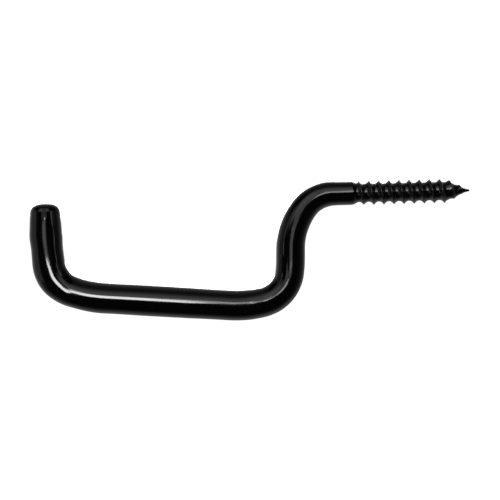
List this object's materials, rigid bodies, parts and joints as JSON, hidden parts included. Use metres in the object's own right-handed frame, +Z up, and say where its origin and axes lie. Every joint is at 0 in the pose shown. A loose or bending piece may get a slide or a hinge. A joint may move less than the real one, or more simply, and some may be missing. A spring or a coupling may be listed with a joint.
{
  "type": "screw hook",
  "caption": "Black coated round-bar screw hook: a wood-screw thread with a gimlet point, a stepped-down arm and an upturned rounded tip, for hanging things from a wall or beam.",
  "frame": {"origin": "on the screw's axis, where the thread starts at the end of the plain shank", "axes": "+X along the screw toward its point, into the wall; +Z up in use; Y across the bar, which lies in the plane Y = 0 with its arm toward -X"},
  "size_m": [0.1136, 0.0082, 0.0349],
  "materials": {
    "black_coat": "smooth glossy black coat over steel, thinner and a little duller on the thread"
  },
  "bodies": {
    "root": {"screw_hook": "black_coat"}
  },
  "joints": []
}
